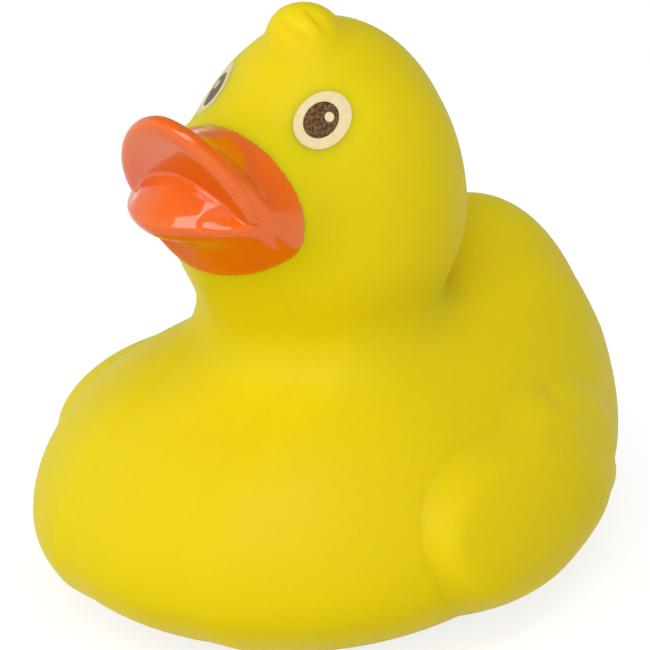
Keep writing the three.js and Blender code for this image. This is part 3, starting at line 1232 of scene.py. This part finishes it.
@dataclass
class Eyes:
    """The printed eyes: a pale oval, a dark pupil and a pale glint on each side of the head."""

    form: DuckForm
    white: Oval = Oval(half_long=3.98, half_short=3.08, lean=45.7)
    pupil: Oval = Oval(half_long=2.46, half_short=1.93, lean=41.8, back=-0.18, up=0.05)
    glint: Oval = Oval(half_long=0.6, half_short=0.56, lean=0.0, back=0.83, up=0.38)
    aside: float = 7.9
    ahead: float = 8.5
    above: float = 16.42
    rings: int = 14
    segments: int = 96
    film: float = 0.018
    centre_passes: int = 6
    laying_passes: int = 4

    def faces(self) -> list[np.ndarray]:
        """Joins an oval's points, which run outwards from its centre in rings.

        Returns:
            A fan around the centre, and the four-sided faces outside it.
        """
        first = 1 + np.arange(self.segments)
        following = np.roll(first, -1)
        fan = np.stack([np.zeros_like(first), following, first], axis=-1)
        ring = np.stack([first, following, following + self.segments, first + self.segments], axis=-1)
        return [fan, np.concatenate([ring + n * self.segments for n in range(self.rings - 1)])]

    def patch(self, oval: Oval, side: Side, layer: int) -> Surface:
        """Lays one oval on the head.

        Args:
            oval: The oval to lay.
            side: Which side of the head.
            layer: How many films lie under it, itself included.

        Returns:
            The oval as a thin closed film.
        """
        head = self.form.head
        middle = np.array([[self.aside, head.y - self.ahead, head.z + self.above]])
        middle = self.form.settle(middle, self.centre_passes)
        out = self.form.normals(middle)[0]
        up = np.array([0.0, 0.0, 1.0]) - out * out[2]
        up /= np.linalg.norm(up)
        back = np.cross(up, out)
        lean = math.radians(oval.lean)
        long_axis = up * math.cos(lean) + back * math.sin(lean)
        short_axis = back * math.cos(lean) - up * math.sin(lean)
        centre = middle[0] + back * oval.back + up * oval.up
        share = np.linspace(0.0, 1.0, self.rings + 1)[1:, None, None]
        turn = np.linspace(0.0, 2.0 * math.pi, self.segments, endpoint=False)[None, :, None]
        along = np.cos(turn) * long_axis * oval.half_long
        across = np.sin(turn) * short_axis * oval.half_short
        points = np.concatenate([centre[None], (centre + share * (along + across)).reshape(-1, 3)])
        points = self.form.settle(points, self.laying_passes)
        normals = self.form.normals(points)
        faces = self.faces()
        _, one, two = faces[0][0]
        if np.cross(points[one] - points[0], points[two] - points[0]) @ out < 0:
            faces = [f[:, ::-1] for f in faces]
        if side is Side.RIGHT:
            mirror = np.array([-1.0, 1.0, 1.0])
            points, normals = points * mirror, normals * mirror
            faces = [f[:, ::-1] for f in faces]
        flat = Surface(points, faces, normals)
        return flat.film(np.full(len(points), self.film * layer), self.film)

    def build(
        self, side: Side, white: bpy.types.Material, pupil: bpy.types.Material
    ) -> list[bpy.types.Object]:
        """Builds and dresses one eye.

        Args:
            side: Which side of the head.
            white: The pale print.
            pupil: The dark print.

        Returns:
            The eye's pieces.
        """
        layers = (
            ("eye_white", self.white, white, Slot.EYE_WHITE),
            ("eye_pupil", self.pupil, pupil, Slot.EYE_PUPIL),
            ("eye_glint", self.glint, white, Slot.EYE_WHITE),
        )
        pieces = []
        for layer, (name, oval, material, slot) in enumerate(layers, start=1):
            piece = self.patch(oval, side, layer).make(f"{name}_{side.name.lower()}")
            piece.data.materials.append(material)
            pieces.append(seat(piece))
        return pieces


@dataclass(frozen=True)
class Lamp:
    """A square soft light, placed by its bearing from the duck."""

    name: str
    azimuth: float
    elevation: float
    distance: float
    side: float
    power: float


@dataclass
class Studio:
    """The white floor, the soft lights and the camera, which face the duck's middle."""

    chest: float
    middle_behind: float = 40.5
    middle_up: float = 37.0
    azimuth: float = 39.91
    elevation: float = 22.38
    distance: float = 734.8
    view_end: float = 50000.0
    image_side: float = 650.0
    pixels_per_mm: float = 8.3
    middle_column: float = 337.6
    middle_row: float = 287.8
    sensor: float = 36.0
    floor_side: float = 6000.0
    floor_matt: float = 0.8
    floor_shaded: float = 0.3
    floor_glow: float = 0.8
    horizon: float = 1.03
    zenith: float = 0.28
    zenith_from: float = 0.75
    dark_elevation: float = 55.0
    lamps: tuple[Lamp, ...] = (
        Lamp("key", azimuth=26.0, elevation=48.0, distance=900.0, side=370.0, power=2.0),
        Lamp("upper", azimuth=62.0, elevation=62.0, distance=900.0, side=270.0, power=1.05),
        Lamp("left_fill", azimuth=-62.0, elevation=25.0, distance=1100.0, side=900.0, power=0.4),
    )

    @property
    def middle(self) -> Vector:
        """The place that the lamps and the camera face."""
        return Vector((0.0, self.chest + self.middle_behind, self.middle_up))

    @staticmethod
    def bearing(azimuth: float, elevation: float) -> Vector:
        """Gives the direction from the duck at an azimuth, 0 straight ahead of it, and an elevation."""
        a, e = math.radians(azimuth), math.radians(elevation)
        return Vector((math.sin(a) * math.cos(e), -math.cos(a) * math.cos(e), math.sin(e)))

    def aim(self, thing: bpy.types.Object, at: Vector, back: Vector, distance: float) -> None:
        """Puts a light or camera in its place, turned to a point.

        Args:
            thing: The light or camera.
            at: The point that it faces.
            back: The direction from the point to it.
            distance: How far from the point it stands.
        """
        thing.location = (at + back * distance) * MM
        thing.rotation_mode = "QUATERNION"
        thing.rotation_quaternion = (-back).to_track_quat("-Z", "Y")
        bpy.context.scene.collection.objects.link(thing)

    def camera(self) -> None:
        """Makes the camera at the photograph's view and sets it as the scene's own."""
        back = self.bearing(self.azimuth, self.elevation)
        right = Vector((0.0, 0.0, 1.0)).cross(back).normalized()
        up = back.cross(right)
        aside = (self.image_side / 2.0 - self.middle_column) / self.pixels_per_mm
        above = (self.middle_row - self.image_side / 2.0) / self.pixels_per_mm
        data = bpy.data.cameras.new("photo_camera")
        data.sensor_width = self.sensor
        data.lens = self.sensor * self.pixels_per_mm * self.distance / self.image_side
        data.clip_end = self.view_end * MM
        camera = bpy.data.objects.new("photo_camera", data)
        self.aim(camera, self.middle + right * aside + up * above, back, self.distance)
        bpy.context.scene.camera = camera

    def light(self, lamp: Lamp) -> None:
        """Makes one soft light.

        Args:
            lamp: The light to make.
        """
        data = bpy.data.lights.new(lamp.name, "AREA")
        data.shape = "SQUARE"
        data.size = lamp.side * MM
        data.energy = lamp.power
        thing = bpy.data.objects.new(lamp.name, data)
        self.aim(thing, self.middle, self.bearing(lamp.azimuth, lamp.elevation), lamp.distance)

    def sky(self) -> None:
        """Makes the world's soft light, brightest low down in front of the duck."""
        world = bpy.data.worlds.new("studio_world")
        world.use_nodes = True
        tree = world.node_tree
        direction = tree.nodes.new("ShaderNodeTexCoord").outputs["Generated"]
        height = tree.nodes.new("ShaderNodeVectorMath")
        height.operation = "DOT_PRODUCT"
        height.inputs[1].default_value = -self.bearing(0.0, -self.dark_elevation)
        level = tree.nodes.new("ShaderNodeMapRange")
        level.interpolation_type = "SMOOTHSTEP"
        level.inputs["From Max"].default_value = self.zenith_from
        level.inputs["To Min"].default_value = self.horizon
        level.inputs["To Max"].default_value = self.zenith
        background = tree.nodes["Background"]
        background.inputs["Color"].default_value = grey(1.0)
        tree.links.new(direction, height.inputs[0])
        tree.links.new(height.outputs["Value"], level.inputs["Value"])
        tree.links.new(level.outputs["Result"], background.inputs["Strength"])
        bpy.context.scene.world = world

    def floor(self) -> None:
        """Makes the white floor, which keeps the duck's soft shadow."""
        half = self.floor_side / 2.0
        corners = np.array([[-half, -half, 0.0], [half, -half, 0.0], [half, half, 0.0], [-half, half, 0.0]])
        quad = [np.array([[0, 1, 2, 3]])]
        floor = Surface(corners, quad, np.tile([0.0, 0.0, 1.0], (4, 1))).make("floor")
        sheet = NodeSheet("white_floor")
        rays = sheet.add("LightPath").outputs
        seen = sheet.math("MAXIMUM", rays["Is Camera Ray"], rays["Is Glossy Ray"])
        seen = sheet.math("MAXIMUM", seen, rays["Is Transmission Ray"])
        matt = sheet.add("BsdfDiffuse", Color=grey(self.floor_matt))
        shaded = sheet.add("BsdfDiffuse", Color=grey(self.floor_shaded))
        glow = sheet.add("Emission", Color=grey(1.0), Strength=self.floor_glow)
        white = sheet.fill(sheet.add("AddShader"), shaded.outputs[0], glow.outputs[0])
        shown = sheet.fill(sheet.add("MixShader"), seen, matt.outputs[0], white)
        floor.data.materials.append(sheet.surface(shown))

    def build(self) -> None:
        """Makes the whole studio."""
        bpy.context.scene.view_settings.view_transform = "Standard"
        self.camera()
        for lamp in self.lamps:
            self.light(lamp)
        self.sky()
        self.floor()


def main() -> None:
    """Builds the studio and the duck."""
    logging.basicConfig(level=logging.INFO, format="%(name)s: %(message)s")
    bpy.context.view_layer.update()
    low, high = (np.array(corner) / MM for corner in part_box(NODE))
    form = DuckForm(chest=low[1])
    Studio(chest=low[1]).build()

    white = EYE_CREAM.material()
    pupil = EYE_BROWN.material()
    pieces = [Skin(form).build(low, high, VinylFinish())]
    pieces.append(BeakPaint(form).build(BeakFinish()))
    eyes = Eyes(form)
    for side in Side:
        pieces.extend(eyes.build(side, white, pupil))
    for piece in pieces:
        LOG.info("%s has %d faces", piece.name, len(piece.data.polygons))

    bpy.context.view_layer.update()


if __name__ == "__main__":
    main()
